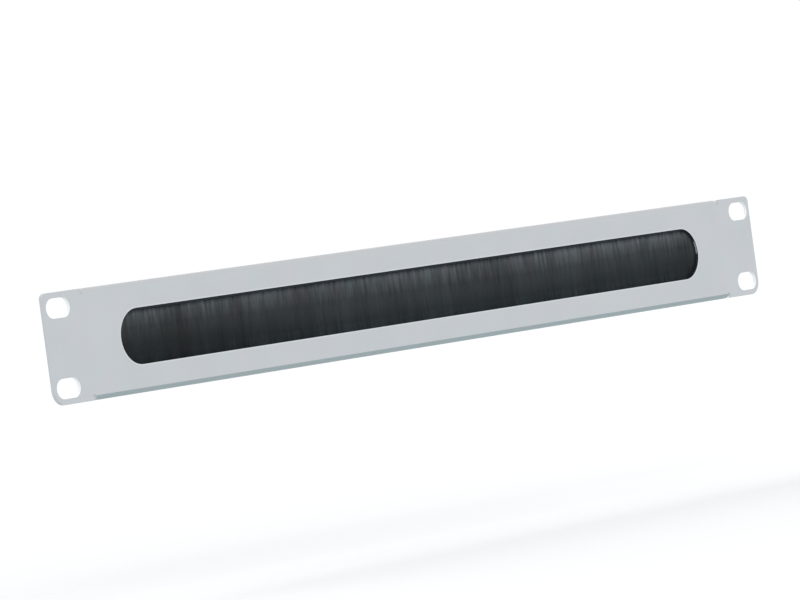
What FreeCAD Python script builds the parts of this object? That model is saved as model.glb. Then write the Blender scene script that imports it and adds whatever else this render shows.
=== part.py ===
# Brush strip panel for a 19 inch rack, one unit high: a folded steel panel with a long
# round-ended cable opening, and behind it a strip brush whose bristles hang over the opening.
# Millimetres. X runs along the panel, Y goes back into the rack, Z is up.
# The origin is midway between the four rack slots, on the rear face that seats on the rack rails.
import FreeCAD, Part
import math
import os
import Sketcher
from FreeCAD import Placement, Rotation, Vector

doc = FreeCAD.newDocument("brush_strip_panel")

# Driving dimensions: alias, value, and what it measures.
SIZES = [
    ("panel_width", 482.6, "overall width of the panel, ear to ear"),
    ("panel_height", 44.4, "overall height of the panel"),
    ("sheet_gauge", 1.5, "thickness of the panel's steel sheet"),
    ("upper_corner", 2.5, "radius of the panel's two upper corners"),
    ("lower_corner", 6.0, "radius of the panel's two lower corners"),
    ("ear_width", 24.3, "width of a flat ear, from the panel's end to the flanges' ends"),
    ("bend_radius", 0.7, "inner radius of the panel's two folds"),
    ("flange_depth", 12.0, "depth of the folded flanges, from the front face"),
    ("flange_corner", 4.0, "radius of the flanges' free corners"),
    ("relief_width", 1.6, "width of the bend relief slit beside each flange end"),
    ("relief_margin", 0.1, "how far a relief slit runs past the fold"),
    ("slot_inset", 8.75, "distance from the panel's end to the middle of a rack slot"),
    ("slot_rim", 6.325, "distance from the panel's upper or lower edge to the middle of a slot"),
    ("slot_length", 14.0, "length of a rack slot, end to end"),
    ("slot_height", 8.0, "height of a rack slot"),
    ("opening_inset", 19.2, "distance from the flanges' ends to the end of the cable opening"),
    ("upper_rim", 10.6, "height of the panel's face above the cable opening"),
    ("lower_rim", 11.2, "height of the panel's face below the cable opening"),
    ("brush_overrun", 10.5, "how far the strip brush runs past each end of the opening"),
    ("channel_depth", 3.6, "front to back size of the brush channel"),
    ("channel_height", 2.4, "height of the brush channel"),
    ("channel_wall", 0.5, "wall of the brush channel"),
    ("channel_crown", 0.9, "outer radius of the channel's upper corners"),
    ("wire_diameter", 1.1, "diameter of the core wire that the filaments are folded over"),
    ("fold_height", 0.4, "height of the filaments over the core wire"),
    ("bristle_overlap", 3.5, "how far the bristles reach below the opening's lower edge"),
    ("bristle_clear", 0.3, "gap between the bristles and the back of the panel"),
    ("bristle_flare", 1.6, "how much further back the bristles stand at their tips"),
    ("tuft_pitch", 3.8, "width of one tuft of bristles"),
    ("tuft_groove", 0.5, "depth of the groove between two tufts, at their tips"),
    ("tip_scatter", 0.6, "how unevenly the tufts are cut"),
    ("clamp_overrun", 2.0, "how far the clamp bar runs past each end of the strip brush"),
    ("clamp_gauge", 0.8, "thickness of the clamp bar's sheet"),
    ("clamp_bend", 0.3, "inner radius of the clamp bar's two folds"),
    ("clamp_top_gap", 0.2, "gap between the clamp bar and the panel's upper fold"),
    ("clamp_lip_gap", 0.4, "how far the clamp bar's back leg stops above the channel's mouth"),
    ("stud_count", 5, "number of weld studs"),
    ("stud_inset", 15.0, "distance from the clamp bar's end to its nearest weld stud"),
    ("stud_diameter", 3.0, "thread diameter of a weld stud"),
    ("stud_reach", 6.0, "length of a weld stud behind the panel"),
    ("stud_chamfer", 0.4, "chamfer on a stud's free end"),
    ("stud_clear", 0.2, "radial gap between a stud and its hole in the clamp bar"),
    ("washer_diameter", 6.0, "outer diameter of a washer"),
    ("washer_gauge", 0.5, "thickness of a washer"),
    ("washer_clear", 0.1, "radial gap between a washer and its stud"),
    ("washer_margin", 0.15, "gap between a washer and the clamp bar's lower fold"),
    ("washer_roof", 0.35, "gap between a washer and the panel's upper flange"),
    ("nut_flats", 5.5, "width of a nut across its flats"),
    ("nut_height", 2.4, "height of a nut"),
    ("nut_chamfer", 0.35, "height of the chamfer at a nut's corners"),
    ("thread_clear", 0.02, "radial gap between a nut and its stud"),
]

sheet = doc.addObject("Spreadsheet::Sheet", "sizes")
for row, (alias, value, meaning) in enumerate(SIZES, start=1):
    sheet.set(f"A{row}", alias)
    sheet.set(f"B{row}", str(value))
    sheet.set(f"C{row}", meaning)
    sheet.setAlias(f"B{row}", alias)
doc.recompute()

# What several pieces share, each written once as an expression of the sheet's cells.
# The studs keep clear of the upper flange, and the brush hangs below them.
HALF_HEIGHT = "(sizes.panel_height / 2)"
FOLD_RADIUS = "(sizes.sheet_gauge + sizes.bend_radius)"
FOLD_LEVEL = f"({HALF_HEIGHT} - {FOLD_RADIUS})"
STUD_LEVEL = (
    f"({HALF_HEIGHT} - sizes.sheet_gauge - sizes.washer_roof - sizes.washer_diameter / 2)"
)
CLAMP_WEB_TOP = (
    f"({STUD_LEVEL} - sizes.washer_diameter / 2 - sizes.washer_margin - sizes.clamp_bend)"
)
CHANNEL_TOP = f"({CLAMP_WEB_TOP} - sizes.clamp_gauge)"
CHANNEL_MOUTH = f"({CHANNEL_TOP} - sizes.channel_height)"
SLOT_ACROSS = "(sizes.panel_width / 2 - sizes.slot_inset)"
SLOT_LEVEL = f"({HALF_HEIGHT} - sizes.slot_rim)"
FLANGE_LENGTH = "(sizes.panel_width - 2 * sizes.ear_width)"
OPENING_LENGTH = f"({FLANGE_LENGTH} - 2 * sizes.opening_inset)"
OPENING_HEIGHT = "(sizes.panel_height - sizes.upper_rim - sizes.lower_rim)"
OPENING_LEVEL = "((sizes.lower_rim - sizes.upper_rim) / 2)"
CHANNEL_LENGTH = f"({OPENING_LENGTH} + 2 * sizes.brush_overrun)"
CLAMP_LENGTH = f"({CHANNEL_LENGTH} + 2 * sizes.clamp_overrun)"
FIRST_STUD = f"(sizes.stud_inset - {CLAMP_LENGTH} / 2)"
STUD_ROW = f"({CLAMP_LENGTH} - 2 * sizes.stud_inset)"

# How the tufts differ: waves of the tuft's number, so that every build gives the same brush.
WANDER_SHARE = 0.22
WANDER_RATES = (2.4, 5.1)
WANDER_SHIFT = 1.0
GROOVE_MEAN = 0.65
GROOVE_SWING = 0.35
GROOVE_RATE = 1.7
ROOT_GROOVE_SHARE = 0.25
TIP_RATE = 3.9
TIP_SHIFT = 0.6
TIP_VALLEY = 1.2


def size(expression):
    """The value now of an expression of the sheet's cells."""
    found = sheet.evalExpression(expression)
    return float(getattr(found, "Value", found))


def new_body(label):
    body = doc.addObject("PartDesign::Body", label)
    body.Label = label
    return body


def plane_of(body, role):
    return next(f for f in body.Origin.OriginFeatures if f.Role == role)


def new_sketch(body, role, name):
    sketch = body.newObject("Sketcher::SketchObject", name)
    sketch.AttachmentSupport = [(plane_of(body, role), "")]
    sketch.MapMode = "FlatFace"
    return sketch


def bind(sketch, kind, *args, to):
    """Adds a dimension to a sketch and ties it to an expression of the sheet's cells."""
    index = sketch.addConstraint(Sketcher.Constraint(kind, *args, size(to)))
    sketch.setExpression(f"Constraints[{index}]", to)


def place_point(sketch, geometry, end, across, up):
    """Ties one end of a sketch's line or arc to a place, measured from the sketch's origin."""
    bind(sketch, "DistanceX", -1, 1, geometry, end, to=across)
    bind(sketch, "DistanceY", -1, 1, geometry, end, to=up)


def draw_outline(sketch, corners):
    """A closed outline of straight edges. Each corner is two expressions, across and up."""
    spots = [Vector(size(across), size(up), 0) for across, up in corners]
    lines = []
    for start, end in zip(spots, spots[1:] + spots[:1]):
        lines.append(sketch.addGeometry(Part.LineSegment(start, end)))
    for line, following in zip(lines, lines[1:] + lines[:1]):
        sketch.addConstraint(Sketcher.Constraint("Coincident", line, 2, following, 1))
    for line, (across, up) in zip(lines, corners):
        place_point(sketch, line, 1, across, up)
    return lines


def draw_slot(sketch, across, up, length, height):
    """A slot with round ends, centred on a place."""
    reach = f"(({length} - {height}) / 2)"
    radius = size(f"{height} / 2")
    middle = Vector(size(across), size(up), 0)
    half = Vector(size(reach), 0, 0)
    rise = Vector(0, radius, 0)
    up_axis = Vector(0, 0, 1)
    left = sketch.addGeometry(
        Part.ArcOfCircle(Part.Circle(middle - half, up_axis, radius), math.pi / 2, 3 * math.pi / 2)
    )
    right = sketch.addGeometry(
        Part.ArcOfCircle(Part.Circle(middle + half, up_axis, radius), -math.pi / 2, math.pi / 2)
    )
    lower = sketch.addGeometry(Part.LineSegment(middle - half - rise, middle + half - rise))
    upper = sketch.addGeometry(Part.LineSegment(middle + half + rise, middle - half + rise))
    for arc, arc_end, line, line_end in (
        (left, 2, lower, 1),
        (right, 1, lower, 2),
        (right, 2, upper, 1),
        (left, 1, upper, 2),
    ):
        sketch.addConstraint(Sketcher.Constraint("Tangent", arc, arc_end, line, line_end))
    sketch.addConstraint(Sketcher.Constraint("Equal", left, right))
    bind(sketch, "Radius", left, to=f"{height} / 2")
    place_point(sketch, left, 3, f"{across} - {reach}", up)
    place_point(sketch, right, 3, f"{across} + {reach}", up)


def pad(body, sketch, name, length, midplane=False):
    """Thickens a sketch. With midplane the material goes half to each side."""
    feature = body.newObject("PartDesign::Pad", name)
    feature.Profile = sketch
    feature.setExpression("Length", length)
    feature.Midplane = midplane
    doc.recompute()
    return feature


def cut_through(body, sketch, name):
    """Cuts a sketch right through the body, and makes sure that it removed something."""
    before = body.Shape.Volume
    feature = body.newObject("PartDesign::Pocket", name)
    feature.Profile = sketch
    feature.Type = "ThroughAll"
    feature.Midplane = True
    doc.recompute()
    if not body.Shape.Volume < before:
        raise RuntimeError(f"{name} cut nothing")
    return feature


def edges_where(shape, wanted):
    """The names of a shape's edges that a test picks."""
    return [f"Edge{i}" for i, edge in enumerate(shape.Edges, start=1) if wanted(edge)]


def round_edges(body, base, wanted, name, radius):
    feature = body.newObject("PartDesign::Fillet", name)
    feature.Base = (base, edges_where(base.Shape, wanted))
    feature.setExpression("Radius", radius)
    doc.recompute()
    return feature


def mirror(body, feature, role, name):
    """Repeats a feature on the other side of one of the body's own planes."""
    copy = body.newObject("PartDesign::Mirrored", name)
    copy.Originals = [feature]
    copy.MirrorPlane = (plane_of(body, role), [""])
    body.Tip = copy
    doc.recompute()
    return copy


def runs_along(edge, axis):
    """True for a straight edge that is parallel to an axis."""
    if not isinstance(edge.Curve, Part.Line):
        return False
    return abs(abs(edge.Curve.Direction.dot(axis)) - 1) < 1e-6


def make_front_panel():
    """The folded steel panel: flat ears, two flanges, the cable opening and four rack slots."""
    body = new_body("front_panel")
    outline = new_sketch(body, "XZ_Plane", "panel_outline")
    right, top = "sizes.panel_width / 2", HALF_HEIGHT
    draw_outline(
        outline,
        [(f"-{right}", f"-{top}"), (right, f"-{top}"), (right, top), (f"-{right}", top)],
    )
    plate = pad(body, outline, "plate", "sizes.sheet_gauge")
    for name, half, radius in (
        ("upper_corners", 1, "sizes.upper_corner"),
        ("lower_corners", -1, "sizes.lower_corner"),
    ):
        plate = round_edges(
            body,
            plate,
            lambda edge: runs_along(edge, Vector(0, 1, 0)) and edge.CenterOfMass.z * half > 0,
            name,
            radius,
        )

    # The sheet stops short of the fold over the flange and the relief slits beside it.
    blank = new_sketch(body, "XZ_Plane", "fold_blank")
    end = f"({FLANGE_LENGTH} / 2 + sizes.relief_width)"
    fold_root = f"({FOLD_LEVEL} - sizes.relief_margin)"
    beyond = f"({HALF_HEIGHT} + sizes.sheet_gauge)"
    for side in ("", "-"):
        draw_outline(
            blank,
            [
                (f"-{end}", f"{side}{fold_root}"),
                (end, f"{side}{fold_root}"),
                (end, f"{side}{beyond}"),
                (f"-{end}", f"{side}{beyond}"),
            ],
        )
    cut_through(body, blank, "fold_blanks")

    # One fold and flange in section, from the sheet's cut edge round to the flange's free edge.
    section = new_sketch(body, "YZ_Plane", "flange_section")
    front, rear = "-sizes.sheet_gauge", "0"
    inner_level = f"({HALF_HEIGHT} - sizes.sheet_gauge)"
    bend_back = "sizes.bend_radius"
    free_edge = "(sizes.flange_depth - sizes.sheet_gauge)"
    centre = Vector(size(bend_back), size(FOLD_LEVEL), 0)
    up_axis = Vector(0, 0, 1)

    def line(start, finish):
        spots = [Vector(size(across), size(up), 0) for across, up in (start, finish)]
        return section.addGeometry(Part.LineSegment(*spots))

    def arc(radius):
        circle = Part.Circle(centre, up_axis, size(radius))
        return section.addGeometry(Part.ArcOfCircle(circle, math.pi / 2, math.pi))

    outer_web = line((front, fold_root), (front, FOLD_LEVEL))
    outer_arc = arc(FOLD_RADIUS)
    outer_flange = line((bend_back, HALF_HEIGHT), (free_edge, HALF_HEIGHT))
    edge_line = line((free_edge, HALF_HEIGHT), (free_edge, inner_level))
    inner_flange = line((free_edge, inner_level), (bend_back, inner_level))
    inner_arc = arc("sizes.bend_radius")
    inner_web = line((rear, FOLD_LEVEL), (rear, fold_root))
    root_line = line((rear, fold_root), (front, fold_root))
    for first, first_end, second, second_end in (
        (outer_web, 2, outer_arc, 2),
        (outer_arc, 1, outer_flange, 1),
        (inner_flange, 2, inner_arc, 1),
        (inner_arc, 2, inner_web, 1),
    ):
        section.addConstraint(
            Sketcher.Constraint("Tangent", first, first_end, second, second_end)
        )
    for first, second in (
        (outer_flange, edge_line),
        (edge_line, inner_flange),
        (inner_web, root_line),
        (root_line, outer_web),
    ):
        section.addConstraint(Sketcher.Constraint("Coincident", first, 2, second, 1))
    section.addConstraint(Sketcher.Constraint("Coincident", outer_arc, 3, inner_arc, 3))
    section.addConstraint(Sketcher.Constraint("Vertical", edge_line))
    section.addConstraint(Sketcher.Constraint("Horizontal", root_line))
    place_point(section, outer_arc, 3, bend_back, FOLD_LEVEL)
    place_point(section, outer_web, 1, front, fold_root)
    bind(section, "Radius", inner_arc, to="sizes.bend_radius")
    bind(section, "DistanceX", -1, 1, edge_line, 1, to=free_edge)
    bind(section, "DistanceY", -1, 1, edge_line, 1, to=HALF_HEIGHT)
    upper = pad(body, section, "upper_flange", FLANGE_LENGTH, midplane=True)
    lower = mirror(body, upper, "XY_Plane", "lower_flange")

    opening = new_sketch(body, "XZ_Plane", "cable_opening")
    draw_slot(opening, "0", OPENING_LEVEL, OPENING_LENGTH, OPENING_HEIGHT)
    cut_through(body, opening, "cable_opening_cut")

    slots = new_sketch(body, "XZ_Plane", "rack_slots")
    for side in ("-", ""):
        for level in ("-", ""):
            draw_slot(
                slots,
                f"{side}{SLOT_ACROSS}",
                f"{level}{SLOT_LEVEL}",
                "sizes.slot_length",
                "sizes.slot_height",
            )
    last = cut_through(body, slots, "rack_slots_cut")

    free_y = size(free_edge)
    round_edges(
        body,
        last,
        lambda edge: runs_along(edge, Vector(0, 0, 1))
        and abs(edge.CenterOfMass.y - free_y) < 1e-6,
        "flange_corners",
        "sizes.flange_corner",
    )
    return body


def make_clamp_bar():
    """The bar that clamps the brush to the panel: a flange, a web and a back leg, folded from
    one strip, with a hole for each weld stud."""
    body = new_body("clamp_bar")
    section = new_sketch(body, "YZ_Plane", "clamp_section")
    gauge = "sizes.clamp_gauge"
    top = f"({FOLD_LEVEL} - sizes.clamp_top_gap)"
    back = f"(sizes.channel_depth + {gauge})"
    foot = f"({CHANNEL_MOUTH} + sizes.clamp_lip_gap)"
    draw_outline(
        section,
        [
            ("0", top),
            ("0", CHANNEL_TOP),
            ("sizes.channel_depth", CHANNEL_TOP),
            ("sizes.channel_depth", foot),
            (back, foot),
            (back, CLAMP_WEB_TOP),
            (gauge, CLAMP_WEB_TOP),
            (gauge, top),
        ],
    )
    strip = pad(body, section, "clamp_strip", CLAMP_LENGTH, midplane=True)

    def corner_at(across, up):
        y, z = size(across), size(up)

        def wanted(edge):
            middle = edge.CenterOfMass
            return (
                runs_along(edge, Vector(1, 0, 0))
                and abs(middle.y - y) < 1e-6
                and abs(middle.z - z) < 1e-6
            )

        return wanted

    inner_corners = [("sizes.channel_depth", CHANNEL_TOP), (gauge, CLAMP_WEB_TOP)]
    outer_corners = [("0", CHANNEL_TOP), (back, CLAMP_WEB_TOP)]
    for name, corners, radius in (
        ("inner_folds", inner_corners, "sizes.clamp_bend"),
        ("outer_folds", outer_corners, f"sizes.clamp_bend + {gauge}"),
    ):
        tests = [corner_at(*corner) for corner in corners]
        strip = round_edges(
            body, strip, lambda edge: any(test(edge) for test in tests), name, radius
        )

    hole = new_sketch(body, "XZ_Plane", "stud_hole")
    radius = "sizes.stud_diameter / 2 + sizes.stud_clear"
    centre = Vector(size(FIRST_STUD), size(STUD_LEVEL), 0)
    ring = hole.addGeometry(Part.Circle(centre, Vector(0, 0, 1), size(radius)))
    place_point(hole, ring, 3, FIRST_STUD, STUD_LEVEL)
    bind(hole, "Radius", ring, to=radius)
    cut = cut_through(body, hole, "stud_hole_cut")
    row = body.newObject("PartDesign::LinearPattern", "stud_holes")
    row.Originals = [cut]
    row.Direction = (hole, ["H_Axis"])
    row.setExpression("Length", STUD_ROW)
    row.setExpression("Occurrences", "sizes.stud_count")
    body.Tip = row
    doc.recompute()
    return body


def make_brush_channel():
    """The rolled steel channel that grips the filaments, open downwards."""
    body = new_body("brush_channel")
    section = new_sketch(body, "YZ_Plane", "channel_section")
    wall, depth = "sizes.channel_wall", "sizes.channel_depth"
    inner_top = f"({CHANNEL_TOP} - {wall})"
    inner_back = f"({depth} - {wall})"
    draw_outline(
        section,
        [
            ("0", CHANNEL_MOUTH),
            (wall, CHANNEL_MOUTH),
            (wall, inner_top),
            (inner_back, inner_top),
            (inner_back, CHANNEL_MOUTH),
            (depth, CHANNEL_MOUTH),
            (depth, CHANNEL_TOP),
            ("0", CHANNEL_TOP),
        ],
    )
    strip = pad(body, section, "channel_strip", CHANNEL_LENGTH, midplane=True)
    for name, level, radius in (
        ("crown_outside", CHANNEL_TOP, "sizes.channel_crown"),
        ("crown_inside", inner_top, f"sizes.channel_crown - {wall}"),
    ):
        z = size(level)
        strip = round_edges(
            body,
            strip,
            lambda edge: runs_along(edge, Vector(1, 0, 0)) and abs(edge.CenterOfMass.z - z) < 1e-6,
            name,
            radius,
        )
    return body


def make_core_wire():
    """The wire inside the channel that the filaments are folded over."""
    wire = doc.addObject("Part::Cylinder", "core_wire")
    wire.Label = "core_wire"
    wire.setExpression("Radius", "sizes.wire_diameter / 2")
    wire.setExpression("Height", CHANNEL_LENGTH)
    wire.Placement.Rotation = Rotation(Vector(0, 1, 0), 90)
    wire.setExpression("Placement.Base.x", f"-{CHANNEL_LENGTH} / 2")
    wire.setExpression("Placement.Base.y", "sizes.channel_depth / 2")
    wire.setExpression(
        "Placement.Base.z",
        f"{CHANNEL_TOP} - sizes.channel_wall - sizes.fold_height - sizes.wire_diameter / 2",
    )
    doc.recompute()
    return wire


def tuft_edges():
    """Where one tuft ends and the next begins, from the brush's left end to its right end.
    The tufts differ a little in width, and two edges never cross."""
    length = size(CHANNEL_LENGTH)
    count = max(2, round(length / size("sizes.tuft_pitch")))
    pitch = length / count
    slow, fast = WANDER_RATES
    edges = [-length / 2]
    for i in range(1, count):
        wander = (math.sin(slow * i) + math.sin(fast * i + WANDER_SHIFT)) / 2
        edges.append(-length / 2 + pitch * (i + WANDER_SHARE * wander))
    edges.append(length / 2)
    return edges


def curtain_section(edges, front, back, groove, level):
    """A closed outline across the bristles at one level, with a groove between two tufts."""
    front_row = []
    back_row = []
    for i, (left, right) in enumerate(zip(edges, edges[1:])):
        share = GROOVE_MEAN + GROOVE_SWING * math.sin(GROOVE_RATE * i)
        front_row += [
            Vector(left, front + groove * share, level),
            Vector((left + right) / 2, front, level),
        ]
        back_row += [
            Vector(left, back - groove * share, level),
            Vector((left + right) / 2, back, level),
        ]
    front_row.append(Vector(edges[-1], front + groove, level))
    back_row.append(Vector(edges[-1], back - groove, level))
    outline = front_row + back_row[::-1]
    return Part.makePolygon(outline + outline[:1])


def make_bristles():
    """The filaments: packed round the core wire in the channel, and hanging below it as a
    ridged curtain of tufts, cut a little unevenly at the tips."""
    length = size(CHANNEL_LENGTH)
    wall = size("sizes.channel_wall")
    near, far = wall, size("sizes.channel_depth") - wall
    mouth = size(CHANNEL_MOUTH)
    roof = size(CHANNEL_TOP) - wall
    round_in = size("sizes.channel_crown") - wall
    tips = size(f"sizes.lower_rim - {HALF_HEIGHT} - sizes.bristle_overlap")
    groove = size("sizes.tuft_groove")
    scatter = size("sizes.tip_scatter")
    spare = 4 * scatter + 1

    pack = Part.makeBox(length, far - near, roof - mouth, Vector(-length / 2, near, mouth))
    crown = [
        edge
        for edge in pack.Edges
        if runs_along(edge, Vector(1, 0, 0)) and abs(edge.CenterOfMass.z - roof) < 1e-6
    ]
    if round_in > 0:
        pack = pack.makeFillet(round_in, crown)
    wire = doc.getObject("core_wire").Shape
    pack = pack.cut(wire)

    edges = tuft_edges()
    shallow = groove * ROOT_GROOVE_SHARE
    drop = mouth - tips + spare
    flare = size("sizes.bristle_flare") * drop / (mouth - tips)
    clear = size("sizes.bristle_clear")
    upper = curtain_section(edges, near, far, shallow, mouth)
    lower = curtain_section(edges, clear, far + flare, groove, mouth - drop)
    curtain = Part.makeLoft([upper, lower], True, True)

    # What lies below the uneven line of tips is cut away.
    valley = tips + scatter * TIP_VALLEY
    line = []
    for i, (left, right) in enumerate(zip(edges, edges[1:])):
        tip = tips + scatter * math.sin(TIP_RATE * i + TIP_SHIFT)
        line.append(Vector(left, 0, valley))
        line.append(Vector((left + right) / 2, 0, tip))
    line[0].x -= spare
    line.append(Vector(edges[-1] + spare, 0, valley))
    floor = mouth - drop - spare
    line += [Vector(line[-1].x, 0, floor), Vector(line[0].x, 0, floor)]
    waste = Part.Face(Part.makePolygon(line + line[:1]))
    reach = far + flare + 2 * spare
    waste.translate(Vector(0, -spare, 0))
    curtain = curtain.cut(waste.extrude(Vector(0, reach, 0)))

    bristles = doc.addObject("Part::Feature", "bristles")
    bristles.Label = "bristles"
    bristles.Shape = pack.fuse(curtain)
    return bristles


def place_fastener(body, number, depth):
    """Puts a fastener on the line of its stud, at a depth behind the panel's rear face."""
    along = f"{FIRST_STUD} + {STUD_ROW} * {number} / (sizes.stud_count - 1)"
    body.setExpression("Placement.Base.x", along)
    body.setExpression("Placement.Base.y", depth)
    body.setExpression("Placement.Base.z", STUD_LEVEL)


def turn(body, sketch, name):
    """Revolves a sketch about the body's own Y axis."""
    feature = body.newObject("PartDesign::Revolution", name)
    feature.Profile = sketch
    feature.ReferenceAxis = (sketch, ["H_Axis"])
    feature.Angle = 360
    doc.recompute()
    return feature


def make_stud(number):
    """A plain weld stud, chamfered at its free end."""
    body = new_body(f"weld_stud_{number + 1}")
    half = new_sketch(body, "YZ_Plane", f"stud_{number + 1}_half")
    radius, reach, chamfer = "sizes.stud_diameter / 2", "sizes.stud_reach", "sizes.stud_chamfer"
    draw_outline(
        half,
        [
            ("0", "0"),
            (reach, "0"),
            (reach, f"{radius} - {chamfer}"),
            (f"{reach} - {chamfer}", radius),
            ("0", radius),
        ],
    )
    turn(body, half, f"stud_{number + 1}_turned")
    place_fastener(body, number, "0")
    return body


def make_washer(number):
    """A flat washer between a nut and the clamp bar."""
    body = new_body(f"washer_{number + 1}")
    half = new_sketch(body, "YZ_Plane", f"washer_{number + 1}_half")
    inner = "sizes.stud_diameter / 2 + sizes.washer_clear"
    outer = "sizes.washer_diameter / 2"
    gauge = "sizes.washer_gauge"
    draw_outline(half, [("0", inner), (gauge, inner), (gauge, outer), ("0", outer)])
    turn(body, half, f"washer_{number + 1}_turned")
    place_fastener(body, number, "sizes.clamp_gauge")
    return body


def make_nut(number):
    """A hexagon nut: a chamfered blank, turned, with its six flats cut and two of them level."""
    body = new_body(f"nut_{number + 1}")
    half = new_sketch(body, "YZ_Plane", f"nut_{number + 1}_half")
    bore = "(sizes.stud_diameter / 2 + sizes.thread_clear)"
    corner = "(sizes.nut_flats / 2 / cos(30 deg))"
    height, chamfer = "sizes.nut_height", "sizes.nut_chamfer"
    eased = f"({corner} - {chamfer} * tan(60 deg))"
    draw_outline(
        half,
        [
            ("0", bore),
            (height, bore),
            (height, eased),
            (f"{height} - {chamfer}", corner),
            (chamfer, corner),
            ("0", eased),
        ],
    )
    turn(body, half, f"nut_{number + 1}_turned")

    around = new_sketch(body, "XZ_Plane", f"nut_{number + 1}_flats")
    rim = around.addGeometry(Part.Circle(Vector(), Vector(0, 0, 1), size(f"{corner} * 1.5")))
    around.addConstraint(Sketcher.Constraint("Coincident", rim, 3, -1, 1))
    bind(around, "Radius", rim, to=f"{corner} * 1.5")
    draw_outline(
        around,
        [(f"{corner} * cos({60 * k} deg)", f"{corner} * sin({60 * k} deg)") for k in range(6)],
    )
    cut_through(body, around, f"nut_{number + 1}_hexagon")
    place_fastener(body, number, "sizes.clamp_gauge + sizes.washer_gauge")
    return body


pieces = [make_front_panel(), make_clamp_bar(), make_brush_channel(), make_core_wire()]
pieces.append(make_bristles())
for number in range(round(size("sizes.stud_count"))):
    pieces += [make_stud(number), make_washer(number), make_nut(number)]
doc.recompute()

for item in doc.Objects:
    if "Invalid" in item.State or "Error" in item.State:
        raise RuntimeError(f"{item.Label} failed: {item.State}")
os.makedirs("parts", exist_ok=True)
for piece in pieces:
    shape = piece.Shape
    if shape.isNull() or not shape.isValid() or not shape.Solids:
        raise RuntimeError(f"{piece.Label} is not a valid solid")
    shape.exportStep(f"parts/{piece.Label}.step")
    box = shape.BoundBox
    print(
        f"{piece.Label}: {len(shape.Solids)} solid, {shape.Volume:.1f} mm3,"
        f" X {box.XMin:.2f} {box.XMax:.2f} Y {box.YMin:.2f} {box.YMax:.2f}"
        f" Z {box.ZMin:.2f} {box.ZMax:.2f}"
    )
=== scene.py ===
import math

import bpy
import numpy as np
from mathutils import Matrix, Vector


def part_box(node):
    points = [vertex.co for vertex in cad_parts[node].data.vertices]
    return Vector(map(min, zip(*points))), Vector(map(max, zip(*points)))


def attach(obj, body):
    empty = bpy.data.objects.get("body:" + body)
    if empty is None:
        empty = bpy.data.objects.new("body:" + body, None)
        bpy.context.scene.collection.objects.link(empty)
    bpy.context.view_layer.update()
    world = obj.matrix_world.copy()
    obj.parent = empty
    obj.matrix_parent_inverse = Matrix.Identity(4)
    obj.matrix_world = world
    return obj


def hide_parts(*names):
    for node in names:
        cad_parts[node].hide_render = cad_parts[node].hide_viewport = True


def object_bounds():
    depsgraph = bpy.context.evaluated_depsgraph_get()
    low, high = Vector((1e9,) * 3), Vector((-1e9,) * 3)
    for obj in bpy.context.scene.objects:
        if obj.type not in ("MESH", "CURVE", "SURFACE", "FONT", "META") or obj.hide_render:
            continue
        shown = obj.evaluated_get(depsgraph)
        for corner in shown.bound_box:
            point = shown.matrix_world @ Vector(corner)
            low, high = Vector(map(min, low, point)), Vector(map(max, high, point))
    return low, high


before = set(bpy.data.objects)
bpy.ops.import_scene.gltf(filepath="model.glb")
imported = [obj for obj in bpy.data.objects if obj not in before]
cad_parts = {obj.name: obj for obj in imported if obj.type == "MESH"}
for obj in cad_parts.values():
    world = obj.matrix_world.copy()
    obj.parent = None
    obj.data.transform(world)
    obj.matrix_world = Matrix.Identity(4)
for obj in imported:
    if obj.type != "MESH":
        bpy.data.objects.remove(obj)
cad_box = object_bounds()

MM = 0.001
# A share from none to all, and the same the other way round.
RISING = (0.0, 1.0)
FALLING = (1.0, 0.0)
# The span that most of a noise's values lie in, and narrower and wider ones.
NOISE_SPAN = (0.3, 0.7)
NARROW_NOISE_SPAN = (0.35, 0.65)
WIDE_NOISE_SPAN = (0.25, 0.75)
# The places of a mix node's colour sockets, which share their names with others.
MIX_FACTOR, MIX_FIRST, MIX_SECOND, MIX_RESULT = 0, 6, 7, 2

# The camera: where it stands round the panel, how it leans, how far away it is, and its lens.
AZIMUTH = -51.472
ELEVATION = 0.645
LEAN = -7.77
DISTANCE = 2531.3 * MM
LENS = 270.0
SENSOR = 36.0
CLIP_START = 0.05
CLIP_END = 100.0
# Where the panel's middle lies in the picture, measured from the picture's middle.
PICTURE_WIDTH = 800
MIDDLE_RIGHT_PX = 24.5
MIDDLE_DOWN_PX = -6.23

# The panel hangs a little above a wide floor.
FLOOR_DROP = 80 * MM
FLOOR_REACH = 30.0
# The white that the camera sees of the floor, and the grey that lights the panel.
FLOOR_SEEN = (0.98, 0.98, 0.98)
FLOOR_GIVEN = (0.70, 0.70, 0.70)
# The same for the studio round it.
STUDIO_SEEN = (1, 1, 1)
STUDIO_GIVEN = (0.96, 0.98, 1.0)
STUDIO_SEEN_STRENGTH = 1.0
STUDIO_GIVEN_STRENGTH = 0.84
# The soft distant lamps, each with its azimuth and elevation.
LAMPS = (("key", -40.0, 18.0), ("rear_fill", 165.0, 35.0))
LAMP_STRENGTH = 0.8
LAMP_SOFTNESS = 40.0

# The cable opening in the panel's face, and how far the painted shade on its wall reaches past its
# outline.
OPENING_HALF_LENGTH = 197.8 * MM
OPENING_RADIUS = 11.3 * MM
OPENING_LEVEL = 0.3 * MM
OPENING_WALL_SHADE_REACH = 0.2 * MM
# The rack slots' middles, and how far the painted light on their walls reaches along and up from
# them.
SLOT_ACROSS = 232.55 * MM
SLOT_LEVEL = 15.875 * MM
SLOT_REACH_ALONG = 7.3 * MM
SLOT_REACH_UP = 4.3 * MM
# The flanges' ends, and the middle and reach of the painted light on the slits beside them.
FLANGE_HALF_LENGTH = 217.1 * MM
SLIT_LEVEL = 21.5 * MM
SLIT_REACH = 2.0 * MM
SLIT_DEPTH = 0.8 * MM

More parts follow.
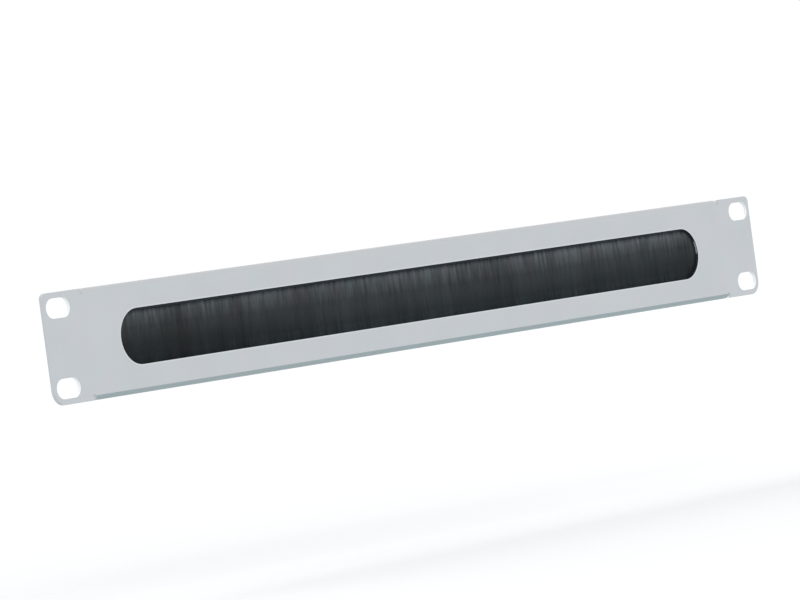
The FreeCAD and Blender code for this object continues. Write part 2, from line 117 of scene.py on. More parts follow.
# The panel's powder coat: its plain grey, its mottled tones, and the tints that it drifts between.
COAT_GREY = (0.56, 0.585, 0.605)
COAT_ROUGHNESS = 0.6
COAT_ROUGHNESS_SPAN = (0.55, 0.66)
COAT_TONES = ((0.3, (0.562, 0.586, 0.602)), (0.7, (0.584, 0.606, 0.623)))
COAT_TINTS = ((0.985, 1.003, 1.0), (1.012, 0.997, 1.004))
# How far a surface faces down or up where a fold's painted shade starts, and where it is full.
LOWER_FOLD_SHADE_FACING = (-0.07, -0.14)
UPPER_FOLD_SHADE_FACING = (0.03, 0.35)
# Painted shade on the downward-facing lower fold, less deep towards its flat underside, and
# painted shade that dims surfaces facing up.
LOWER_FOLD_SHADE_TONES = ((0.1, (0.322, 0.388, 0.404)), (0.95, (0.385, 0.467, 0.482)))
UPPER_FOLD_SHADE_TONE = (0.552, 0.564, 0.578)
# A surface is a punched edge where it faces the front or the rear by less than this.
EDGE_FACING = 0.5
# Painted light: the slots' walls are near white.
SLOT_WALL_LIGHT_TONE = (0.93, 0.94, 0.95)
# Painted light on the walls of the slits beside the flanges' ends.
SLIT_LIGHT_TONE = (0.64, 0.65, 0.67)
# A painted highlight: the pale rim round the opening.
RIM_HIGHLIGHT_WIDTH = (0.15 * MM, 0.75 * MM)
RIM_HIGHLIGHT_STRENGTH = 0.8
RIM_HIGHLIGHT_TONE = (0.70, 0.73, 0.75)
# The painted shade on the opening's wall, and the painted glint at its right end: where the glint
# starts along the panel, its foot, its head, and its depth in the sheet.
WALL_SHADE_TONE = (0.012, 0.017, 0.020)
GLINT_TONE = (0.40, 0.43, 0.44)
GLINT_START = 190 * MM
GLINT_FOOT = (-1.0 * MM, 0.8 * MM)
GLINT_HEAD = (4.0 * MM, 6.0 * MM)
GLINT_DEPTH = 0.8 * MM
GLINT_REACH = 0.4 * MM

# Where black coat and bare steel are fully dark and fully light, as values of their noise, and
# how far their roughness strays from its plain value.
BLACK_STOPS = (0.3, 0.75)
BLACK_ROUGHNESS_SPREAD = (-0.07, 0.1)
STEEL_STOPS = (0.55, 1.0)
STEEL_ROUGHNESS_SPREAD = (-0.08, 0.12)
# How much bare steel's fine lines count for its tone, next to its clouds.
STEEL_LINES = 0.6

# The strip brush: its layers from front to rear, and their filaments.
LAYERS = ("bristles_front", "bristles_middle", "bristles_rear")
FIRST_SEED = 11
FILAMENTS_PER_LAYER = 13500
FILAMENT_DIAMETER = 0.21 * MM
FILAMENT_STEPS = 2
FILAMENT_SIDES = 3
FILAMENT_CORNERS = (FILAMENT_STEPS + 1) * FILAMENT_SIDES
THICKNESS_SPREAD = (0.85, 1.15)
TURN_SPREAD = (-0.1, 0.1)
# From where to where the brush reaches in depth, at its roots and at its tips.
ROOT_DEPTH = (0.65 * MM, 2.95 * MM)
TIP_DEPTH = (0.5 * MM, 4.6 * MM)
TIP_DEPTH_STRAY = 0.05
# The power with which each layer's filaments crowd at one of its faces.
CROWDING = 6
# How far the roots reach up into the channel, and how the tips end.
ROOT_HIDDEN = 1.2 * MM
TIP_RISE = 0.7 * MM
TIP_SCATTER = (-0.5 * MM, 0.9 * MM)
TIP_WAVE_CELL = 3.0 * MM
TIP_WAVE = 0.6 * MM
# How clumps and wisps of filaments lean together, and how a few loose ones stray further.
CLUMP_CELL = 6.0 * MM
CLUMP_LEAN = 1.4 * MM
WISP_CELL = 1.6 * MM
WISP_LEAN = 0.2 * MM
STRAY = 0.15 * MM
LOOSE_SHARE = 0.03
LOOSE_GAIN = 5.0
# How a filament bends towards its tip, and how far it waves.
BEND = 1.2
WAVE = 0.015 * MM
# How wide the strands and the tufts of one tone are, and the strands that fade over one length.
STRAND_CELL = 1.4 * MM
TUFT_CELL = 3.0 * MM
REACH_CELL = 1.9 * MM

# The nylon's plain black, and the tints that it drifts between.
NYLON_BLACK = (0.03, 0.033, 0.036)
NYLON_ROUGHNESS = 0.5
NYLON_SHINE = 0.25
NYLON_TINTS = ((0.96, 1.008, 1.0), (1.045, 0.993, 1.015))
# The level of the lower edge of the channel's shade, which differs by strand, and how much lower
# it gets from left to right.
SHADE_LEVEL = (11.02 * MM, 11.82 * MM)
SHADE_DROP_ALONG = (-60 * MM, 110 * MM)
SHADE_DROP = (0.0, 0.24 * MM)
# The nylon's painted highlight and painted shade below that edge, and the length that they are
# spread over.
NYLON_LENGTH = (0.0, 26 * MM)
PALEST_SHARE = 0.09
DARKEST_SHARE = 0.70
# Painted shade under the channel, a painted highlight just below it, painted shade down to the
# lower half, and painted light near the tips.
NYLON_SHADE_AND_HIGHLIGHT_TONES = (
    (0.0, (0.0285, 0.0355, 0.0418)),
    (0.04, (0.0800, 0.0927, 0.1030)),
    (PALEST_SHARE, (0.1013, 0.1140, 0.1246)),
    (0.18, (0.0724, 0.0809, 0.0866)),
    (0.35, (0.0347, 0.0407, 0.0430)),
    (0.60, (0.0229, 0.0291, 0.0305)),
    (DARKEST_SHARE, (0.0193, 0.0253, 0.0271)),
    (0.80, (0.0306, 0.0404, 0.0441)),
    (0.88, (0.0587, 0.0787, 0.0882)),
)
# How much faster the nylon darkens, from the brush's middle to its ends.
STEEPER_ALONG = (80 * MM, 180 * MM)
STEEPNESS = (1.0, 1.3)
# How far tones stray by strand, by broken strand, by tuft, by filament and by patch of brush.
STRAND_GAIN = (-0.15, 0.15)
BROKEN_GAIN = (-0.29, 0.29)
TUFT_GAIN = (-0.075, 0.075)
SINGLE_GAIN = (0.99, 1.01)
PATCH_GAIN = (1.15, 0.85)
# How the strands' differences fade down the brush, and how the tufts' differences grow.
STRAND_FADE_LENGTH = (4 * MM, 17 * MM)
STRAND_FADE_SPAN = (0.2, 1.0)
STRAND_FADE = (1.0, 0.45)
BROKEN_FADE_DOWN = (6 * MM, 14 * MM)
BROKEN_FADE = (1.0, 0.22)
TUFT_GROWTH_DOWN = (4 * MM, 14 * MM)
TUFT_GROWTH = (1.0, 1.9)
# How the brush's tone changes along X: from where to where, and from what gain to what gain.
BRUSH_TONE = (
    ((-200 * MM, -30 * MM), (0.89, 1.0)),
    ((40 * MM, 120 * MM), (1.0, 1.18)),
    ((130 * MM, 200 * MM), (1.0, 0.95)),
)
# The same for the lower half of the brush alone, and where that half starts and is full.
LOWER_TONE = (
    ((-115 * MM, -70 * MM), (0.76, 1.10)),
    ((30 * MM, 170 * MM), (1.0, 0.80)),
)
LOWER_DOWN = (8 * MM, 15 * MM)

# The weld studs' M3 thread.
THREAD_PITCH = 0.5 * MM
THREAD_DEPTH = 0.28 * MM
THREAD_START = 0.7 * MM
THREAD_STEEPNESS = 2.5
STUD_CHAMFER = 0.4 * MM
STUD_RINGS = 96
STUD_SIDES = 36


def add_object(name, data):
    """A new object in the scene with its mesh, lamp or camera."""
    thing = bpy.data.objects.new(name, data)
    bpy.context.collection.objects.link(thing)
    return thing


def new_material(name, color, roughness, metallic=0.0):
    """A Principled material with fixed values, and its node tree for more nodes."""
    material = bpy.data.materials.new(name)
    material.use_nodes = True
    shader = material.node_tree.nodes["Principled BSDF"]
    shader.inputs["Base Color"].default_value = (*color, 1)
    shader.inputs["Roughness"].default_value = roughness
    shader.inputs["Metallic"].default_value = metallic
    return material, material.node_tree, shader


def feed(tree, value, socket):
    """Links a node's input to another node's output, or sets it to a number, vector or colour."""
    if isinstance(value, bpy.types.NodeSocket):
        tree.links.new(value, socket)
    elif socket.type == "RGBA":
        socket.default_value = (*value, 1)
    else:
        socket.default_value = value


def add_node(tree, kind, **inputs):
    """A shader node, with its inputs fed by name."""
    node = tree.nodes.new(kind)
    for name, value in inputs.items():
        feed(tree, value, node.inputs[name.replace("_", " ").title()])
    return node


def noise(tree, coordinate, scale, detail=3.0, stretch=None):
    """Noise over a coordinate. stretch multiplies the coordinate's axes first."""
    if stretch:
        mapping = add_node(tree, "ShaderNodeMapping", vector=coordinate, scale=stretch)
        coordinate = mapping.outputs["Vector"]
    node = add_node(tree, "ShaderNodeTexNoise", vector=coordinate, scale=scale, detail=detail)
    return node.outputs["Fac"]


def ramp(tree, factor, stops):
    """A colour ramp. Each stop is a position and a colour."""
    node = tree.nodes.new("ShaderNodeValToRGB")
    elements = node.color_ramp.elements
    while len(elements) < len(stops):
        elements.new(position=0.5)
    for element, (position, color) in zip(elements, stops):
        element.position = position
        element.color = (*color, 1)
    tree.links.new(factor, node.inputs["Fac"])
    return node.outputs["Color"]


def remap(tree, value, span, to=RISING, smooth=False):
    """Maps a value from one span to another, held at its ends."""
    low, high = span
    to_low, to_high = to
    ends = {"from_min": low, "from_max": high, "to_min": to_low, "to_max": to_high}
    node = add_node(tree, "ShaderNodeMapRange", value=value, **ends)
    node.interpolation_type = "SMOOTHSTEP" if smooth else "LINEAR"
    return node.outputs["Result"]


def mix(tree, factor, first, second, blend="MIX"):
    """Mixes two colours, each a socket or a plain colour."""
    node = tree.nodes.new("ShaderNodeMix")
    node.data_type = "RGBA"
    node.blend_type = blend
    feed(tree, factor, node.inputs[MIX_FACTOR])
    feed(tree, first, node.inputs[MIX_FIRST])
    feed(tree, second, node.inputs[MIX_SECOND])
    return node.outputs[MIX_RESULT]


def add_tint(tree, tone, drift, tints):
    """A colour that drifts between two tints with a noise."""
    tint = mix(tree, remap(tree, drift, NARROW_NOISE_SPAN), *tints)
    return mix(tree, 1.0, tone, tint, blend="MULTIPLY")


def combine(tree, operation, *values):
    """One step of arithmetic on up to three values, each a socket or a number."""
    node = tree.nodes.new("ShaderNodeMath")
    node.operation = operation
    for value, socket in zip(values, node.inputs):
        feed(tree, value, socket)
    return node.outputs["Value"]


def product(tree, value, *factors):
    """A value times others, each a socket or a number."""
    for factor in factors:
        value = combine(tree, "MULTIPLY", value, factor)
    return value


def add_bump(tree, shader, height, strength, distance):
    """Gives a shader the relief of a height."""
    bump = add_node(tree, "ShaderNodeBump", height=height, strength=strength, distance=distance)
    tree.links.new(bump.outputs["Normal"], shader.inputs["Normal"])


def split(tree, vector):
    """The three parts of a vector."""
    return add_node(tree, "ShaderNodeSeparateXYZ", vector=vector).outputs


def object_place(tree):
    """The place on the object, in metres."""
    return tree.nodes.new("ShaderNodeTexCoord").outputs["Object"]


def attribute(tree, name):
    """A value that the mesh holds for each of its points."""
    node = tree.nodes.new("ShaderNodeAttribute")
    node.attribute_name = name
    return node.outputs["Fac"]


def within(tree, value, middle, reach):
    """1 where a value's size lies within reach of a middle, else 0."""
    off = combine(tree, "SUBTRACT", combine(tree, "ABSOLUTE", value), middle)
    return combine(tree, "LESS_THAN", combine(tree, "ABSOLUTE", off), reach)


def opening_distance(tree, parts):
    """How far a place on the panel lies outside the cable opening's outline."""
    straight = OPENING_HALF_LENGTH - OPENING_RADIUS
    across = combine(tree, "SUBTRACT", combine(tree, "ABSOLUTE", parts["X"]), straight)
    across = combine(tree, "MAXIMUM", across, 0.0)
    up = combine(tree, "SUBTRACT", parts["Z"], OPENING_LEVEL)
    squares = combine(tree, "ADD", product(tree, across, across), product(tree, up, up))
    return combine(tree, "SUBTRACT", combine(tree, "SQRT", squares), OPENING_RADIUS)


def add_fold_shade(tree, tone, parts, facing):
    """The panel's tone with painted shade: deeper on the lower fold from where it starts, and a
    painted shade of its own where a surface faces up."""
    under = remap(tree, facing["Z"], LOWER_FOLD_SHADE_FACING)
    off_middle = combine(tree, "ABSOLUTE", parts["X"])
    folded = combine(tree, "LESS_THAN", off_middle, FLANGE_HALF_LENGTH)
    # Painted shade where the lower fold faces down.
    fold_shade = ramp(tree, product(tree, facing["Z"], -1.0), LOWER_FOLD_SHADE_TONES)
    tone = mix(tree, product(tree, under, folded), tone, fold_shade)
    # Painted shade where a surface faces up.
    return mix(tree, remap(tree, facing["Z"], UPPER_FOLD_SHADE_FACING), tone, UPPER_FOLD_SHADE_TONE)


def add_edge_light_and_shade(tree, tone, parts, facing):
    """The panel's tone, with a painted highlight on a pale rim round the opening, painted shade on
    the opening's wall with a painted glint at its right end, and painted light on the punched
    edges of the slots and slits."""
    edge = within(tree, facing["Y"], 0.0, EDGE_FACING)
    distance = opening_distance(tree, parts)
    # A painted highlight on a pale rim round the opening.
    rim_highlight = remap(tree, distance, RIM_HIGHLIGHT_WIDTH, FALLING, smooth=True)
    tone = mix(tree, product(tree, rim_highlight, RIM_HIGHLIGHT_STRENGTH), tone, RIM_HIGHLIGHT_TONE)
    # A painted glint on the opening's wall at its right end.
    glint = product(
        tree,
        remap(tree, parts["Z"], GLINT_FOOT, smooth=True),
        remap(tree, parts["Z"], GLINT_HEAD, FALLING, smooth=True),
        within(tree, parts["Y"], GLINT_DEPTH, GLINT_REACH),
        combine(tree, "GREATER_THAN", parts["X"], GLINT_START),
    )
    # Painted shade: the opening's wall is near black.
    wall_shade = product(tree, edge, combine(tree, "LESS_THAN", distance, OPENING_WALL_SHADE_REACH))
    tone = mix(tree, wall_shade, tone, mix(tree, glint, WALL_SHADE_TONE, GLINT_TONE))
    # Painted light on the slots' walls.
    slot = product(
        tree,
        edge,
        within(tree, parts["X"], SLOT_ACROSS, SLOT_REACH_ALONG),
        within(tree, parts["Z"], SLOT_LEVEL, SLOT_REACH_UP),
    )
    tone = mix(tree, slot, tone, SLOT_WALL_LIGHT_TONE)
    # Painted light on the slits' walls.
    slit_light = product(
        tree,
        edge,
        within(tree, parts["X"], FLANGE_HALF_LENGTH, SLIT_REACH),
        within(tree, parts["Z"], SLIT_LEVEL, SLIT_REACH),
        combine(tree, "LESS_THAN", parts["Y"], SLIT_DEPTH),
    )
    return mix(tree, slit_light, tone, SLIT_LIGHT_TONE)


def make_panel_coat():
    """Matte light grey powder coat: fine orange peel, a little mottling, painted shade on the
    folds, and painted light and shade on the punched edges."""
    material, tree, shader = new_material("panel_coat", COAT_GREY, COAT_ROUGHNESS)
    place = object_place(tree)
    parts = split(tree, place)
    facing = split(tree, tree.nodes.new("ShaderNodeNewGeometry").outputs["True Normal"])
    tone = ramp(tree, noise(tree, place, scale=45.0, detail=4.0), COAT_TONES)
    tone = add_tint(tree, tone, noise(tree, place, scale=60.0, detail=1.0), COAT_TINTS)
    tone = add_fold_shade(tree, tone, parts, facing)
    tone = add_edge_light_and_shade(tree, tone, parts, facing)
    tree.links.new(tone, shader.inputs["Base Color"])
    roughness = remap(tree, noise(tree, place, scale=180.0), NOISE_SPAN, COAT_ROUGHNESS_SPAN)
    tree.links.new(roughness, shader.inputs["Roughness"])
    peel = noise(tree, place, scale=1400.0, detail=2.0)
    add_bump(tree, shader, peel, strength=0.12, distance=0.03 * MM)
    return material


def spread(value, parts):
    """The span round a value, from how far its two ends lie off it."""
    return tuple(value + part for part in parts)


def make_black_coat(name, dark, light, roughness, shine):
    """Black coat with fine grain."""
    material, tree, shader = new_material(name, light, roughness)
    shader.inputs["Specular IOR Level"].default_value = shine
    place = object_place(tree)
    mottle = noise(tree, place, scale=120.0, detail=4.0)
    tone = ramp(tree, mottle, tuple(zip(BLACK_STOPS, (dark, light))))
    tree.links.new(tone, shader.inputs["Base Color"])
    gloss = remap(tree, mottle, NOISE_SPAN, spread(roughness, BLACK_ROUGHNESS_SPREAD))
    tree.links.new(gloss, shader.inputs["Roughness"])
    add_bump(tree, shader, noise(tree, place, scale=1600.0), strength=0.15, distance=0.03 * MM)
    return material


def make_steel(name, dark, light, roughness, along):
    """Bare steel with fine lines along one direction. along is a stretch for the noise."""
    material, tree, shader = new_material(name, light, roughness, metallic=1.0)
    place = object_place(tree)
    lines = noise(tree, place, scale=900.0, stretch=along)
    cloud = noise(tree, place, scale=260.0, detail=4.0)
    both = combine(tree, "MULTIPLY_ADD", lines, STEEL_LINES, cloud)
    tone = ramp(tree, both, tuple(zip(STEEL_STOPS, (dark, light))))
    tree.links.new(tone, shader.inputs["Base Color"])
    gloss = remap(tree, lines, WIDE_NOISE_SPAN, spread(roughness, STEEL_ROUGHNESS_SPREAD))
    tree.links.new(gloss, shader.inputs["Roughness"])
    add_bump(tree, shader, lines, strength=0.2, distance=0.02 * MM)
    return material


def depth_below_shade(tree, parts, strand):
    """How far a place lies below the shade under the channel. The shade's lower edge differs from
    strand to strand, and lies lower towards the right."""
    level = remap(tree, strand, RISING, SHADE_LEVEL)
    drop = remap(tree, parts["X"], SHADE_DROP_ALONG, SHADE_DROP, smooth=True)
    level = combine(tree, "SUBTRACT", level, drop)
    return combine(tree, "SUBTRACT", level, parts["Z"])


def nylon_shade_and_highlight(tree, parts, below):
    """The nylon's painted highlight and painted shade down its length. Towards the brush's ends it
    darkens in a shorter length from where it is palest."""
    off_middle = combine(tree, "ABSOLUTE", parts["X"])
    steepness = remap(tree, off_middle, STEEPER_ALONG, STEEPNESS, smooth=True)
    share = remap(tree, below, NYLON_LENGTH)
    steeper = product(tree, combine(tree, "SUBTRACT", share, PALEST_SHARE), steepness)
    steeper = combine(tree, "ADD", steeper, PALEST_SHARE)
    steeper = combine(tree, "MINIMUM", steeper, DARKEST_SHARE)
    return ramp(tree, combine(tree, "MAXIMUM", share, steeper), NYLON_SHADE_AND_HIGHLIGHT_TONES)


def nylon_gain(tree, place, parts, below, strand):
    """How much paler or darker than its tone the nylon is."""
    # Strands differ most near the channel, and each fades over a length of its own.
    length = remap(tree, attribute(tree, "reach"), RISING, STRAND_FADE_LENGTH)
    down = combine(tree, "DIVIDE", below, length)
    fade = remap(tree, down, STRAND_FADE_SPAN, STRAND_FADE, smooth=True)
    thin = product(tree, remap(tree, strand, RISING, STRAND_GAIN), fade)
    # Some strands are broken, with tones that change down their length.
    broken = noise(tree, place, scale=560.0, detail=1.0, stretch=(1.0, 0.0, 0.13))
    broken = remap(tree, broken, NOISE_SPAN, BROKEN_GAIN)
    broken_fade = remap(tree, below, BROKEN_FADE_DOWN, BROKEN_FADE, smooth=True)
    thin = combine(tree, "ADD", thin, product(tree, broken, broken_fade))
    # Tufts differ more down the brush.
    growth = remap(tree, below, TUFT_GROWTH_DOWN, TUFT_GROWTH, smooth=True)
    wide = product(tree, remap(tree, attribute(tree, "tuft"), RISING, TUFT_GAIN), growth)
    gain = combine(tree, "ADD", combine(tree, "ADD", thin, wide), 1.0)
    filament = tree.nodes.new("ShaderNodeNewGeometry").outputs["Random Per Island"]
    gain = product(tree, gain, remap(tree, filament, RISING, SINGLE_GAIN))
    patch = noise(tree, place, scale=30.0, detail=1.0, stretch=(1.0, 0.0, 0.4))
    gain = product(tree, gain, remap(tree, patch, NARROW_NOISE_SPAN, PATCH_GAIN))
    # The brush is darkest at its left end and palest right of its middle.
    for along, change in BRUSH_TONE:
        gain = product(tree, gain, remap(tree, parts["X"], along, change, smooth=True))
    # Its lower half is also darker at both ends than in the middle.
    lower = remap(tree, below, LOWER_DOWN, smooth=True)
    for along, (before, after) in LOWER_TONE:
        side = remap(tree, parts["X"], along, (before - 1, after - 1), smooth=True)
        side = combine(tree, "ADD", product(tree, side, lower), 1.0)
        gain = product(tree, gain, side)
    return gain


def make_bristle_nylon():
    """Black nylon filament: painted shade under the channel, a painted highlight just below it,
    painted shade darkest in the lower half and painted light near the tips, with strands and tufts
    that differ in tone."""
    material, tree, shader = new_material("bristle_nylon", NYLON_BLACK, NYLON_ROUGHNESS)
    shader.inputs["Specular IOR Level"].default_value = NYLON_SHINE
    place = object_place(tree)
    parts = split(tree, place)
    strand = attribute(tree, "strand")
    below = depth_below_shade(tree, parts, strand)
    # Painted highlight and shade down the brush.
    tone = nylon_shade_and_highlight(tree, parts, below)
    gain = nylon_gain(tree, place, parts, below, strand)
    level = add_node(tree, "ShaderNodeCombineColor", red=gain, green=gain, blue=gain)
    tone = mix(tree, 1.0, tone, level.outputs["Color"], blend="MULTIPLY")
    drift = noise(tree, place, scale=150.0, detail=1.0, stretch=(-1.0, 0.0, 0.3))
    tone = add_tint(tree, tone, drift, NYLON_TINTS)
    tree.links.new(tone, shader.inputs["Base Color"])
    return material


def between(span, share):
    """The value at a share of a span."""
    start, end = span
    return start + (end - start) * share


def smooth_noise(rng, along, cell):
    """Random values from 0 to 1 that change smoothly along a line, one new value each cell."""
    position = (along - along.min()) / cell
    index = position.astype(int)
    values = rng.random(index.max() + 2)
    share = position - index
    share = share * share * (3 - 2 * share)
    return values[index] * (1 - share) + values[index + 1] * share


def wall_faces(steps, sides):
    """The faces between the rings of a tube, as the numbers of its points."""
    faces = []
    for step in range(steps):
        for side in range(sides):
            here = step * sides + side
            beside = step * sides + (side + 1) % sides
            faces.append((here, here + sides, beside + sides, beside))
    return faces


def grow_filaments(rng, root_depth_span, tip_depth_span):
    """The points of one layer's filaments, ring by ring, and the values that tell each one's
    strand, tuft and reach."""
    count = FILAMENTS_PER_LAYER
    low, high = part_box("bristles")
    channel_low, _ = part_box("brush_channel")
    half_length = (high.x - low.x) / 2 - FILAMENT_DIAMETER
    root_level = channel_low.z + ROOT_HIDDEN

    along = (np.arange(count) + rng.uniform(0.0, 1.0, count)) / count
    along = (2 * along - 1) * half_length
    depth = rng.uniform(0.0, 1.0, count) ** CROWDING
    lean = (smooth_noise(rng, along, CLUMP_CELL) - 0.5) * CLUMP_LEAN
    lean += (smooth_noise(rng, along, WISP_CELL) - 0.5) * WISP_LEAN
    stray = rng.normal(0.0, STRAY, count)
    stray[rng.random(count) < LOOSE_SHARE] *= LOOSE_GAIN
    tip_along = np.clip(along + lean + stray, -half_length, half_length)
    values = {
        "strand": smooth_noise(rng, along, STRAND_CELL),
        "tuft": smooth_noise(rng, along, TUFT_CELL),
        "reach": smooth_noise(rng, along, REACH_CELL),
    }
    root_depth = between(root_depth_span, depth)
    tip_share = np.clip(depth + rng.normal(0.0, TIP_DEPTH_STRAY, count), 0.0, 1.0)
    tip_depth = between(tip_depth_span, tip_share)
    tip_level = low.z + TIP_RISE + rng.uniform(*TIP_SCATTER, count)
    tip_level += (smooth_noise(rng, along, TIP_WAVE_CELL) - 0.5) * TIP_WAVE
    tip_level = np.maximum(tip_level, low.z)
    wave = rng.normal(0.0, WAVE, (count, FILAMENT_STEPS + 1))
    wave[:, 0] = 0.0
    radius = FILAMENT_DIAMETER / 2 * rng.uniform(*THICKNESS_SPREAD, count)
    turn = rng.uniform(*TURN_SPREAD, count) - math.pi / 2

    share = np.linspace(0.0, 1.0, FILAMENT_STEPS + 1)
    x = along[:, None] + (tip_along - along)[:, None] * share**BEND + wave
    y = root_depth[:, None] + (tip_depth - root_depth)[:, None] * share
    z = root_level + (tip_level - root_level)[:, None] * share
    corner = 2 * math.pi * np.arange(FILAMENT_SIDES) / FILAMENT_SIDES
    angle = turn[:, None, None] + corner
    ring_x = x[:, :, None] + radius[:, None, None] * np.cos(angle)
    ring_y = y[:, :, None] + radius[:, None, None] * np.sin(angle)
    ring_z = np.broadcast_to(z[:, :, None], ring_x.shape)
    return np.stack([ring_x, ring_y, ring_z], axis=-1).reshape(-1, 3), values


def make_filaments_mesh(name, points):
    """The mesh of one layer's filaments: smooth walls, and a flat cap at each end."""
    start = np.arange(FILAMENTS_PER_LAYER)[:, None] * FILAMENT_CORNERS
    faces = np.array(wall_faces(FILAMENT_STEPS, FILAMENT_SIDES))
    walls = (start[:, :, None] + faces[None]).reshape(-1, faces.shape[1])
    ring = np.arange(FILAMENT_SIDES)
    root_cap = start + ring[None]
    tip_cap = start + (FILAMENT_STEPS * FILAMENT_SIDES + ring[::-1])[None]
    caps = np.concatenate([root_cap, tip_cap])

    mesh = bpy.data.meshes.new(name)
    mesh.vertices.add(len(points))
    mesh.vertices.foreach_set("co", points.astype(np.float32).ravel())
    corners = np.concatenate([walls.ravel(), caps.ravel()])
    mesh.loops.add(len(corners))
    mesh.loops.foreach_set("vertex_index", corners.astype(np.int32))
    sizes = np.repeat([walls.shape[1], caps.shape[1]], [len(walls), len(caps)])
    starts = np.concatenate([[0], np.cumsum(sizes)[:-1]])
    mesh.polygons.add(len(sizes))
    mesh.polygons.foreach_set("loop_start", starts.astype(np.int32))
    mesh.update(calc_edges=True)
    mesh.validate()
    smooth = np.repeat([True, False], [len(walls), len(caps)])
    mesh.polygons.foreach_set("use_smooth", smooth)
    return mesh


def make_filaments(name, seed, root_depth_span, tip_depth_span, material):
    """One layer of the brush: thousands of thin filaments that hang from the channel and spread
    a little, gathered in clumps that lean together."""
    rng = np.random.default_rng(seed)
    points, values = grow_filaments(rng, root_depth_span, tip_depth_span)
    mesh = make_filaments_mesh(name, points)
    for label, value in values.items():
        layer = mesh.attributes.new(label, "FLOAT", "POINT")
        layer.data.foreach_set("value", np.repeat(value, FILAMENT_CORNERS).astype(np.float32))
    mesh.materials.append(material)
    return add_object(name, mesh)


def make_threaded_stud(node, material):
    """A weld stud with its right-hand thread, chamfered at its free end."""
    low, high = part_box(node)
    middle_x, middle_z = (low.x + high.x) / 2, (low.z + high.z) / 2
    radius = (high.x - low.x) / 2
    depth = np.linspace(low.y, high.y, STUD_RINGS + 1)[:, None]
    share = (np.arange(STUD_SIDES) / STUD_SIDES)[None, :]
    phase = (depth / THREAD_PITCH + share) % 1.0
    valley = np.clip(THREAD_STEEPNESS * (0.5 - np.abs(phase - 0.5)), 0.0, 1.0)
    started = np.clip((depth - low.y - THREAD_START) / THREAD_PITCH, 0.0, 1.0)
    reach = radius - THREAD_DEPTH * valley * started
    reach = np.minimum(reach, radius - STUD_CHAMFER + high.y - depth)
    angle = 2 * math.pi * share
    across = middle_x + reach * np.cos(angle)
    up = middle_z + reach * np.sin(angle)
    points = np.stack([across, np.broadcast_to(depth, across.shape), up], axis=-1).reshape(-1, 3)

    ring = range(STUD_SIDES)
    faces = [tuple(ring), *wall_faces(STUD_RINGS, STUD_SIDES)]
    faces.append(tuple(STUD_RINGS * STUD_SIDES + side for side in reversed(ring)))
    name = f"{node}_threaded"
    mesh = bpy.data.meshes.new(name)
    mesh.from_pydata(points.tolist(), [], faces)
    mesh.validate()
    smooth = [False] + [True] * (len(faces) - 2) + [False]
    mesh.polygons.foreach_set("use_smooth", smooth)
    mesh.materials.append(material)
    piece = add_object(name, mesh)
    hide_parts(node)
    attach(piece, "root")


def paint(node, material):
    """Gives a CAD node one material in all its slots."""
    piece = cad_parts[node]
    if not piece.material_slots:
        piece.data.materials.append(material)
    for slot in piece.material_slots:
        slot.material = material


def towards(azimuth, elevation):
    """The direction from the panel to a place round it. Azimuth 0 lies before its face."""
    turn, rise = math.radians(azimuth), math.radians(elevation)
    across, back = math.sin(turn) * math.cos(rise), -math.cos(turn) * math.cos(rise)
    return Vector((across, back, math.sin(rise)))


def make_camera():
    """The camera, which leans, and has the panel's middle a little off the picture's middle."""
    data = bpy.data.cameras.new("camera")
    data.lens = LENS
    data.sensor_width = SENSOR
    data.clip_start = CLIP_START
    data.clip_end = CLIP_END
    camera = add_object("camera", data)
    back = towards(AZIMUTH, ELEVATION)
    lean = math.radians(LEAN)
    level = (-back).cross(Vector((0, 0, 1))).normalized()
    upright = level.cross(-back)
    right = level * math.cos(lean) + upright * math.sin(lean)
    up = upright * math.cos(lean) - level * math.sin(lean)
    focal_px = LENS / SENSOR * PICTURE_WIDTH
    aside = DISTANCE / focal_px
    place = back * DISTANCE - right * MIDDLE_RIGHT_PX * aside + up * MIDDLE_DOWN_PX * aside
    turn = Matrix((right, up, back)).transposed().to_4x4()
    camera.matrix_world = Matrix.Translation(place) @ turn
    bpy.context.scene.camera = camera


def show_apart(tree, kind, output_kind, seen, given):
    """Fills a tree with two shaders of one kind: the one that the camera sees, also in mirrors
    and through glass, and the one that lights the panel. seen and given are their inputs."""
    tree.nodes.clear()
    path = tree.nodes.new("ShaderNodeLightPath").outputs
    either = combine(tree, "MAXIMUM", path["Is Camera Ray"], path["Is Glossy Ray"])
    either = combine(tree, "MAXIMUM", either, path["Is Transmission Ray"])
    choice = tree.nodes.new("ShaderNodeMixShader")
    factor, first, second = choice.inputs
    feed(tree, either, factor)
    feed(tree, add_node(tree, kind, **given).outputs[0], first)
    feed(tree, add_node(tree, kind, **seen).outputs[0], second)
    add_node(tree, output_kind, surface=choice.outputs[0])


def make_floor():
    """A white floor that shows the panel's shadow to the camera, and that is a plain grey for
    the light that it throws back."""
    level = cad_box[0].z - FLOOR_DROP
    corners = ((-1, -1), (1, -1), (1, 1), (-1, 1))
    points = [(x * FLOOR_REACH, y * FLOOR_REACH, level) for x, y in corners]
    mesh = bpy.data.meshes.new("floor")
    mesh.from_pydata(points, [], [tuple(range(len(points)))])
    floor = add_object("floor", mesh)
    material = bpy.data.materials.new("floor_white")
    material.use_nodes = True
    show_apart(
        material.node_tree,
        "ShaderNodeBsdfDiffuse",
        "ShaderNodeOutputMaterial",
        seen={"color": FLOOR_SEEN},
        given={"color": FLOOR_GIVEN},
    )
    mesh.materials.append(material)


def make_world():
    """An even studio: white behind the panel, and a softer level for the light that it gives."""
    world = bpy.data.worlds.new("studio")
    bpy.context.scene.world = world
    world.use_nodes = True
    show_apart(
        world.node_tree,
        "ShaderNodeBackground",
        "ShaderNodeOutputWorld",
        seen={"color": STUDIO_SEEN, "strength": STUDIO_SEEN_STRENGTH},
        given={"color": STUDIO_GIVEN, "strength": STUDIO_GIVEN_STRENGTH},
    )


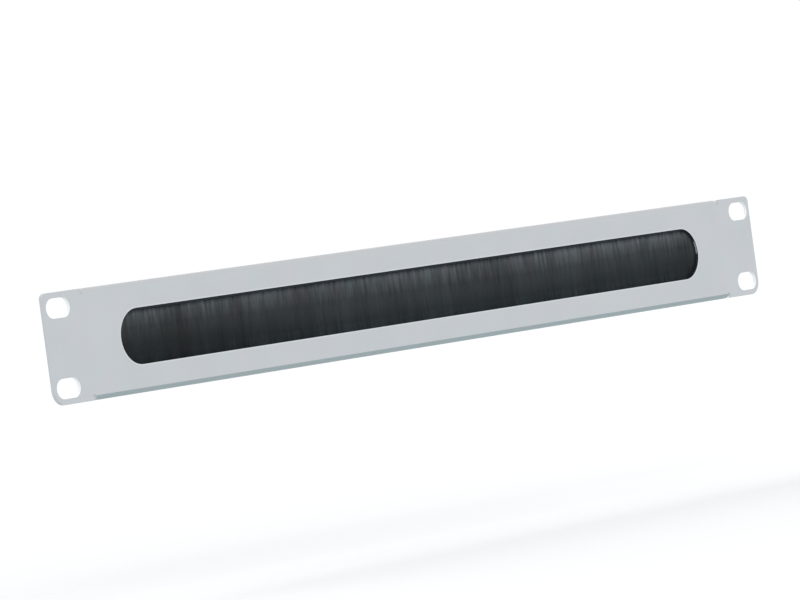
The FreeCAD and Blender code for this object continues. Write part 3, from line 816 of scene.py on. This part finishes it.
def make_sun(name, azimuth, elevation):
    """A soft distant lamp. Azimuth 0 shines along +Y, on the panel's face."""
    data = bpy.data.lights.new(name, "SUN")
    data.energy = LAMP_STRENGTH
    data.angle = math.radians(LAMP_SOFTNESS)
    lamp = add_object(name, data)
    lamp.rotation_mode = "QUATERNION"
    lamp.rotation_quaternion = towards(azimuth, elevation).to_track_quat("Z", "Y")


make_camera()
make_world()
make_floor()
for name, azimuth, elevation in LAMPS:
    make_sun(name, azimuth, elevation)

panel_coat = make_panel_coat()
clamp_coat = make_black_coat(
    "clamp_coat",
    dark=(0.040, 0.044, 0.048),
    light=(0.066, 0.070, 0.076),
    roughness=0.45,
    shine=0.4,
)
channel_steel = make_black_coat(
    "channel_steel",
    dark=(0.018, 0.025, 0.032),
    light=(0.027, 0.036, 0.045),
    roughness=0.5,
    shine=0.15,
)
wire_steel = make_steel(
    "wire_steel",
    dark=(0.35, 0.35, 0.35),
    light=(0.60, 0.60, 0.60),
    roughness=0.32,
    along=(0.05, 1, 1),
)
zinc = make_steel(
    "zinc_fastener",
    dark=(0.48, 0.49, 0.51),
    light=(0.75, 0.76, 0.78),
    roughness=0.3,
    along=(1, 0.2, 1),
)
bristle_nylon = make_bristle_nylon()

paint("front_panel", panel_coat)
paint("clamp_bar", clamp_coat)
paint("brush_channel", channel_steel)
paint("core_wire", wire_steel)
for node in list(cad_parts):
    if node.startswith(("washer", "nut")):
        paint(node, zinc)
    if node.startswith("weld_stud"):
        make_threaded_stud(node, zinc)

for layer, name in enumerate(LAYERS):
    near, far = layer / len(LAYERS), (layer + 1) / len(LAYERS)
    # The rear layer's filaments crowd at its rear face, and those of the others at their front.
    if layer == len(LAYERS) - 1:
        near, far = far, near
    piece = make_filaments(
        name,
        FIRST_SEED + layer,
        (between(ROOT_DEPTH, near), between(ROOT_DEPTH, far)),
        (between(TIP_DEPTH, near), between(TIP_DEPTH, far)),
        bristle_nylon,
    )
    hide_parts("bristles")
    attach(piece, "root")

scene = bpy.context.scene
scene.view_settings.view_transform = "Standard"
